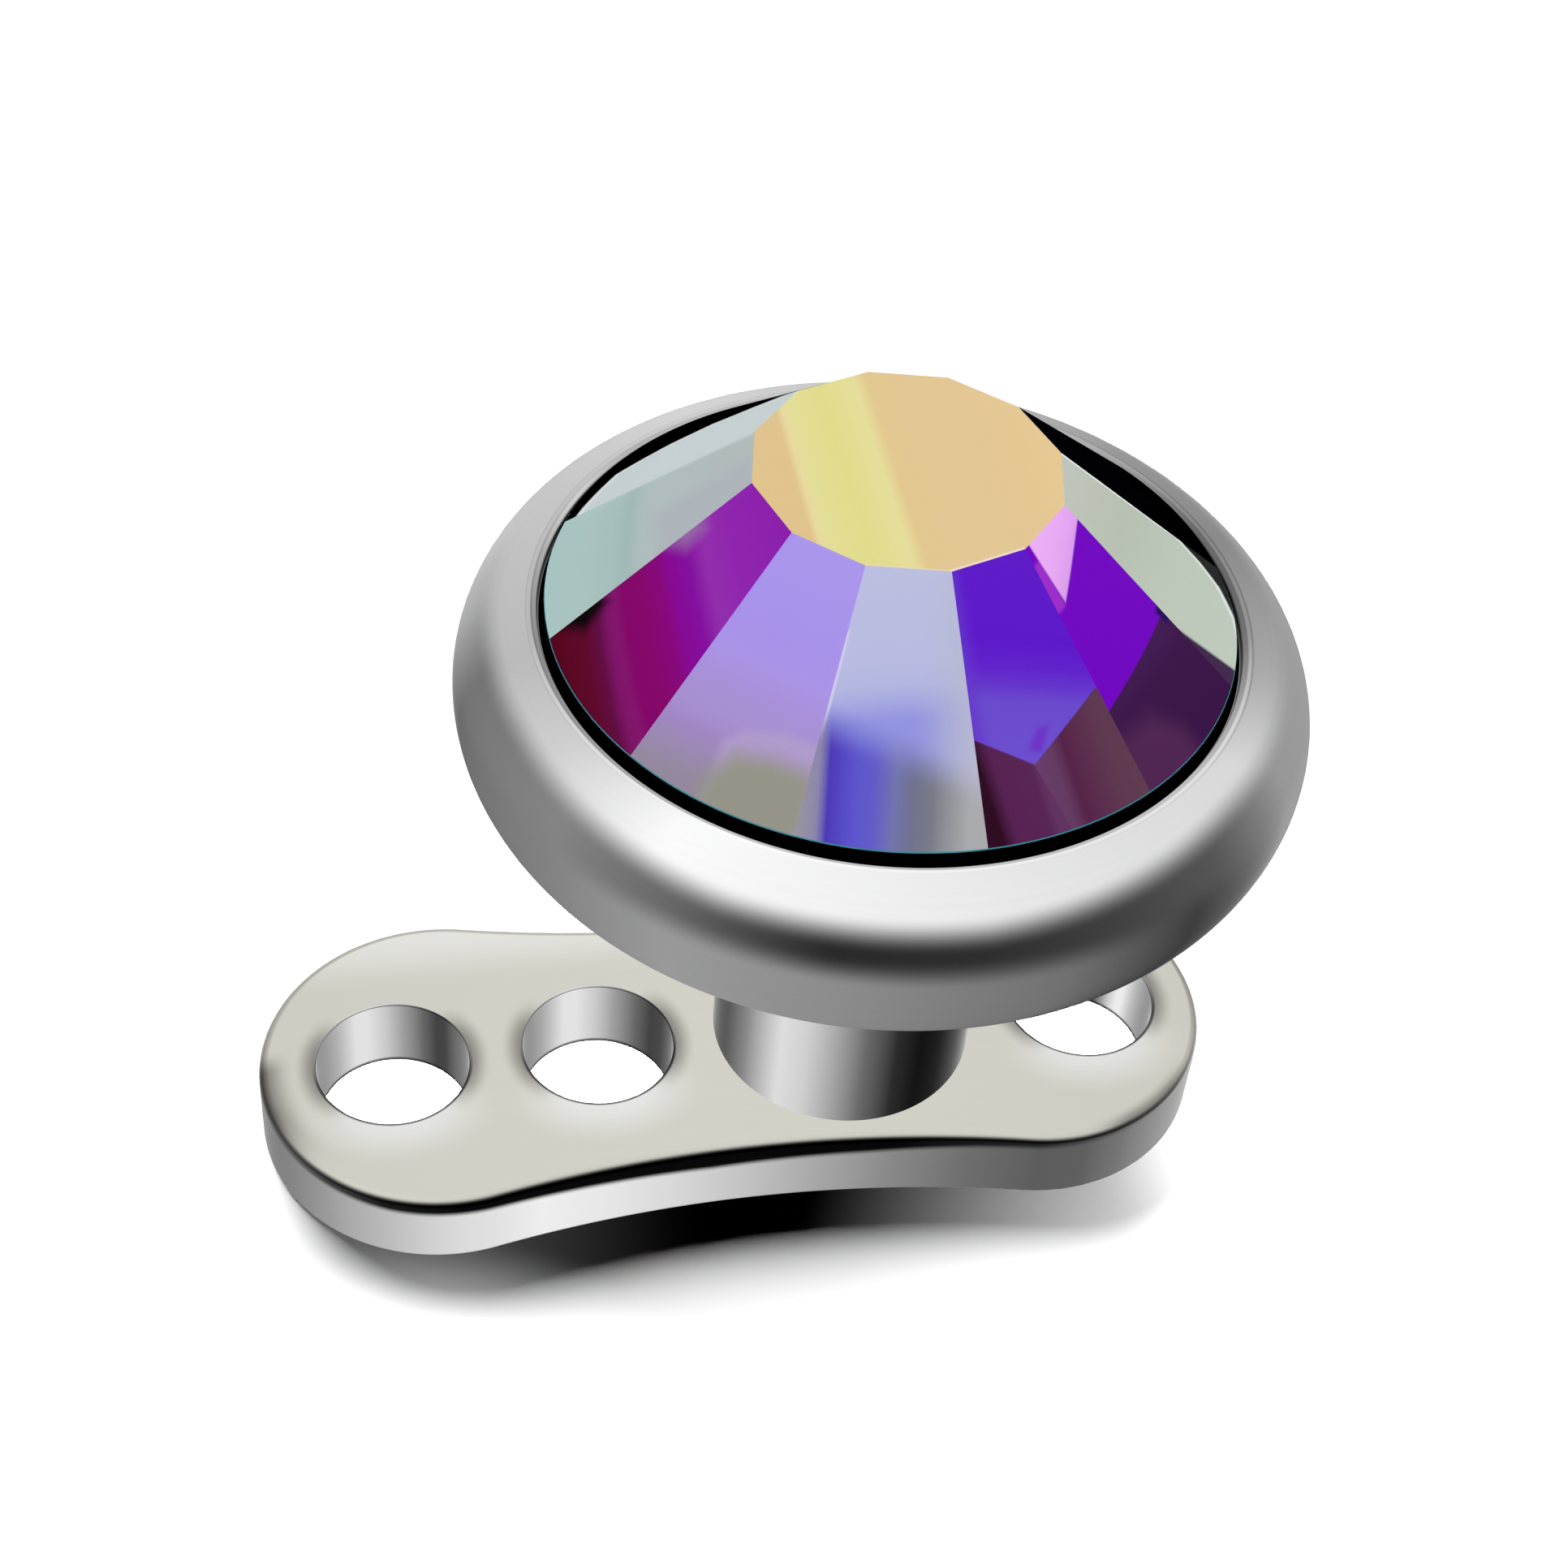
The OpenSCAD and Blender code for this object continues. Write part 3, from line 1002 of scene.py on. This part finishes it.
RIGHT = [
    Wash(-0.25, 1, [(0.0, (193, 199, 190)), (0.25, (188, 196, 182)), (0.5, (185, 194, 178)),
                    (0.7, (187, 198, 183)), (0.95, (191, 202, 187)), (1.5, (193, 204, 190))]),
    Patch((56, 15, 69), 0.03, [(-0.6, 0.72), (-0.46, 0.72), (-0.42, 1.0), (-0.36, 1.6), (-0.6, 1.6)]),
    # Thin line of painted highlight along the facet's right ridge
    Patch((232, 240, 236), 0.012, [(0.20, -0.05), (0.3, -0.05), (0.5, 1.0), (0.41, 1.0)]),
    # Pale line of painted highlight along the black crescent
    Patch((226, 234, 228), 0.03, [(-0.7, -0.2), (0.21, -0.2), (0.35, 0.3), (0.41, 0.6), (0.44, 0.85),
                                  (0.42, 1.05), (0.35, 1.22), (0.25, 1.35), (0.05, 1.46), (-0.7, 1.6)], True),
    # Black crescent at the outer side: painted dark reflection of the gap
    Patch((1, 1, 1), 0.03, [(-0.7, -0.2), (0.235, -0.2), (0.375, 0.3), (0.435, 0.6), (0.465, 0.85),
                            (0.445, 1.08), (0.375, 1.25), (0.27, 1.39), (0.05, 1.5), (-0.7, 1.65)], True),
]


def flipped(paint):
    """A wash with left and right changed over. A plain paint stays as it is."""
    return paint._replace(across=-paint.across) if isinstance(paint, Wash) else paint


def mirrored(recipe):
    """The same facet with left and right changed over."""
    found = [flipped(recipe[0])]
    for patch in recipe[1:]:
        corners = [(-across, down) for across, down in reversed(patch.corners)]
        found.append(patch._replace(paint=flipped(patch.paint), corners=corners))
    return found


# Facets in their order round the crystal, from the right-hand back to the right-hand front
CROWN = [
    GAP_SHADE_FACET, mirrored(PURPLE), mirrored(LAVENDER), GAP_SHADE_FACET, BACK_LEFT, LEFT,
    PURPLE, LAVENDER, FRONT, BLUE_VIOLET, PINK_CORNER, RIGHT,
]
# Facets without gloss, because the picture shows no reflection on them
MATT_FACETS = (0, 3, 4)

# The table's yellow band
TABLE_STOPS = [
    (-0.95, (224, 196, 138)), (-0.64, (223, 193, 140)), (-0.60, (230, 217, 158)), (-0.54, (226, 221, 148)),
    (-0.35, (225, 218, 138)), (-0.20, (227, 221, 150)), (-0.14, (229, 220, 154)), (-0.07, (225, 198, 142)),
    (0.1, (226, 198, 147)), (0.5, (226, 197, 146)), (0.95, (230, 201, 146)),
]
HIGHLIGHT_SOFT = 0.012


def table_highlight(number, shade, width):
    """A thin pale line of painted highlight along the table's edge over one crown facet."""
    start, end = (Vector(ring_point(TABLE_R, around(number, step), 0)[:2]) for step in (0, ARC_STEPS))
    middle = around(number, ARC_STEPS / 2)
    inward = Vector((-math.cos(middle), -math.sin(middle))) * width
    return Patch(shade, HIGHLIGHT_SOFT, [tuple(point) for point in (start, end, end + inward, start + inward)])


TABLE = [
    Wash(1, 0, TABLE_STOPS),
    table_highlight(8, (232, 214, 180), 0.01),
    table_highlight(9, (238, 218, 200), 0.016),
]

# The coated glass, and the thin line of painted highlight round the girdle
GLASS_GLOSS = 0.06
GLASS_ROUGHNESS = 0.06
GIRDLE_HIGHLIGHT_TONE = (36, 128, 142)
GIRDLE_ROUGHNESS = 0.1


class Glass(Finish):
    """Coated glass, with painted reflections in washes and patches whose colours are multiplied by strength.
    """

    def __init__(self, name, gloss, strength=1.0):
        super().__init__(name, Metallic=0.0, Roughness=GLASS_ROUGHNESS, Specular_IOR_Level=gloss)
        self.strength = strength
        self.across, self.down = self.sheet()

    def mix(self, paint):
        """Colour of a plain paint, or a wash's colours over the facet."""
        if isinstance(paint, Wash):
            along = self.across * paint.across + self.down * paint.down
            return self.stops(along, [(at, self.mix(shade)) for at, shade in paint.stops])
        return tuple(value * self.strength for value in colour(*paint)[:3]) + (1,)

    def inside(self, corners, soft):
        """1 inside the straight-sided area, falling to 0 over soft at its edges."""
        sides = list(zip(corners, corners[1:] + corners[:1])) if len(corners) > 2 else [corners]
        share = None
        for (x0, y0), (x1, y1) in sides:
            run = math.hypot(x1 - x0, y1 - y0)
            normal_x, normal_y = -(y1 - y0) / run, (x1 - x0) / run
            inward = self.across * normal_x + self.down * normal_y - (x0 * normal_x + y0 * normal_y)
            part = inward.rise(-soft / 2, soft / 2)
            share = part if share is None else share.least(part)
        return share

    def paint(self, recipe):
        """The material of a facet, from a recipe that is one wash and then patches over it."""
        shade = self.mix(recipe[0])
        for patch in recipe[1:]:
            share = self.inside(patch.corners, patch.soft)
            shade = self.over(shade, self.mix(patch.paint), 1 - share if patch.outside else share)
        self.colour(shade)
        return self.material


def girdle_line():
    """Thin line of painted highlight round the top of the girdle."""
    line = Finish("girdle_line", Metallic=0.0, Roughness=GIRDLE_ROUGHNESS)
    line.colour(colour(*GIRDLE_HIGHLIGHT_TONE))
    return line.material


def crystal_finishes(dark):
    """A painted glass for each crown facet and for the table, and the finishes of the back and the highlight
    line.
    """
    found = []
    for number, recipe in enumerate(CROWN):
        gloss = 0.0 if number in MATT_FACETS else GLASS_GLOSS
        found.append(Glass(f"crown_facet_{number + 1}", gloss).paint(recipe))
    # The lamp over the crystal lights the level table more than the sloping crown, so its paint is darker
    found.append(Glass("table_facet", GLASS_GLOSS, math.cos(slope)).paint(TABLE))
    return found + [dark, girdle_line()]


# Studio
# Greys of the studio that mirrors see, from 0 to 255, by the turn round the disc at which its rim mirrors
# them. The turn is in degrees, 0 at the right and -90 at the front. CREST is what a level face mirrors.
CREST = 255
UPPER = [
    (-180, 187), (-160, 208), (-135, 255), (-105, 244), (-60, 226), (-35, 218), (-15, 168), (10, 138),
    (30, 150), (55, 190), (112, 214), (140, 200), (180, 187),
]
BAND = [
    (-180, 117), (-150, 133), (-130, 105), (-108, 46), (-88, 50), (-70, 66), (-50, 88), (-32, 152), (0, 160),
    (120, 200), (150, 198), (165, 172), (180, 117),
]
LOWER = [
    (-180, 108), (-150, 131), (-130, 154), (-105, 140), (-75, 113), (-55, 64), (-45, 98), (-32, 158),
    (0, 160), (150, 185), (165, 160), (180, 108),
]

# Borders between those zones, by how far the mirroring face is tipped up, in degrees
BAND_TIP = (8, 26)
UPPER_TIP = (31, 51)
CREST_TIP = (75, 84)

# The upper border dips round one turn and rises to both sides of it, within a range of degrees
DIP_TURN = -105
DIP_HALF = 30
DIP_SLOPE = 0.22
DIP_RANGE = (-2.5, 7)

# Zones are blended as greys and made linear at the end
STUDIO_GAMMA = 2.2


def add_world():
    """A studio that only mirrors see: bright above, with a dark band all round and a grey ground.

    The camera sees plain white. A direction is worked out as the tilt of a face that mirrors it to the
    photo's side, because the photo's rim shows the studio in that order.
    """
    world = bpy.data.worlds.new("studio")
    world.use_nodes = True
    scene.world = world
    tree = world.node_tree
    paint = Paint(tree)
    shader = tree.nodes["Background"]
    halfway = paint.new("ShaderNodeVectorMath", operation="ADD")
    tree.links.new(paint.new("ShaderNodeTexCoord").outputs["Generated"], halfway.inputs[0])
    halfway.inputs[1].default_value = VIEW_BACK
    face = paint.new("ShaderNodeVectorMath", operation="NORMALIZE")
    tree.links.new(halfway.outputs[0], face.inputs[0])
    x, y, z = paint.split(face.outputs[0])
    turn = paint.turn(x, y)
    tip = z.maths("ARCSINE", z) * math.degrees(1)
    lowest, highest = DIP_RANGE
    dip = ((abs(turn - DIP_TURN) - DIP_HALF) * DIP_SLOPE).most(lowest).least(highest)
    tone = paint.tones(turn, LOWER)
    tone = paint.over(tone, paint.tones(turn, BAND), tip.rise(*BAND_TIP))
    tone = paint.over(tone, paint.tones(turn, UPPER), (tip - dip).rise(*UPPER_TIP))
    tone = paint.over(tone, even(CREST / 255), tip.rise(*CREST_TIP))
    gamma = paint.new("ShaderNodeGamma")
    gamma.inputs["Gamma"].default_value = STUDIO_GAMMA
    tree.links.new(tone, gamma.inputs["Color"])
    rays = paint.new("ShaderNodeLightPath")
    seen = paint.over(gamma.outputs["Color"], even(1), paint.field(rays.outputs["Is Camera Ray"]))
    tree.links.new(seen, shader.inputs["Color"])
    world.cycles_visibility.diffuse = False
    # Nothing matt sees the studio, so it isn't sampled as a lamp, which makes the render a quarter quicker
    world.cycles.sampling_method = "NONE"


# Lamps far away: turn, rise and width in degrees, and strength in watts on a square metre
Sun = namedtuple("Sun", "name turn rise width strength")
CONTACT_LIGHT = Sun("contact_light", 199, 41, 39.5, 6.6)
CRYSTAL_LIGHT = Sun("crystal_light", 0, 90, 50, 4.3)
FLOOR_GLOW = Sun("floor_glow", 0, -90, 150, 2.3)

# Beams on the floor as (x, y, reach, strength), in millimetres: one in each hole, and four round the shadow
BEAM_HEIGHT = 60
HOLE_BEAM = (0.9, 6.0)
FLOOR_BEAMS = [(x, 0, *HOLE_BEAM) for x in HOLES_X]
FLOOR_BEAMS += [
    (-14.0, -0.1, 13.0, 0.6),
    (-3.2, -3.5, 2.6, 1.15),
    (11.0, -6.6, 12.7, 3.6),
    (4.3, -0.4, 2.9, 1.35),
]


def link_light(lamp, lit, blockers):
    """The lamp lights only some pieces, and only some block it."""
    for purpose, pieces in (("receiver", lit), ("blocker", blockers)):
        group = bpy.data.collections.new(f"{lamp.name}_{purpose}")
        for piece in pieces:
            group.objects.link(piece)
        setattr(lamp.light_linking, f"{purpose}_collection", group)


def add_sun(light, lit, blockers):
    """A soft lamp far away, that lights only some pieces and is blocked only by others."""
    data = bpy.data.lights.new(light.name, "SUN")
    data.energy = light.strength
    data.angle = math.radians(light.width)
    lamp = bpy.data.objects.new(light.name, data)
    towards = direction(math.radians(light.turn), math.radians(light.rise))
    lamp.rotation_euler = towards.to_track_quat("Z", "Y").to_euler()
    scene.collection.objects.link(lamp)
    link_light(lamp, lit, blockers)


def add_beam(name, x, y, reach, strength, lit):
    """A narrow soft lamp straight down on a round of the floor, in millimetres. No piece blocks it.

    Strength is how bright a white floor shows in its middle, where 1 is white.
    """
    data = bpy.data.lights.new(name, "SPOT")
    data.energy = strength * 4 * math.pi**2 * (BEAM_HEIGHT * MM) ** 2
    data.spot_size = 2 * math.atan2(reach, BEAM_HEIGHT)
    data.spot_blend = 1
    data.shadow_soft_size = 0
    lamp = bpy.data.objects.new(name, data)
    lamp.location = (x * MM, y * MM, BEAM_HEIGHT * MM)
    scene.collection.objects.link(lamp)
    link_light(lamp, lit, lit)


FLOOR_REACH = 400
FLOOR_TONE = 240
FLOOR_ROUGHNESS = 0.9


def add_floor():
    """A plain pale floor, which mirrors don't see, because the studio's ground stands for it there."""
    mesh = bpy.data.meshes.new("floor")
    reach = FLOOR_REACH * MM
    corners = [(-reach, -reach, 0), (reach, -reach, 0), (reach, reach, 0), (-reach, reach, 0)]
    mesh.from_pydata(corners, [], [range(4)])
    floor = bpy.data.objects.new("floor", mesh)
    finish = Finish("pale_floor", Roughness=FLOOR_ROUGHNESS, Specular_IOR_Level=0.0)
    finish.colour(colour(FLOOR_TONE))
    mesh.materials.append(finish.material)
    floor.visible_glossy = False
    floor.visible_diffuse = False
    scene.collection.objects.link(floor)
    return floor


add_camera()
hidden = satin_steel()
dark = cup_black()
plate = add_plate([plate_top(), plate_edge(), hole_wall(), hidden])
riser = add_riser([riser_wall(), hidden])
disc = add_disc([polished_steel(), dark, hidden])
crystal = add_crystal(crystal_finishes(dark))
floor = add_floor()
add_world()
# The studio's zones stand for all that the steel mirrors, so the pieces don't show in each other
for piece in (plate, riser, disc, crystal):
    piece.visible_glossy = False
    piece.visible_diffuse = False
add_sun(CONTACT_LIGHT, [floor], [plate])
add_sun(CRYSTAL_LIGHT, [crystal], [crystal])
add_sun(FLOOR_GLOW, [plate, riser], [crystal])
for number, spot in enumerate(FLOOR_BEAMS):
    add_beam(f"floor_beam_{number + 1}", *spot, [floor])
scene.view_settings.view_transform = "Standard"
scene.view_settings.look = "None"
# Even sampling of the lamps, because the light tree leaves a crease where one beam ends inside another
scene.cycles.use_light_tree = False
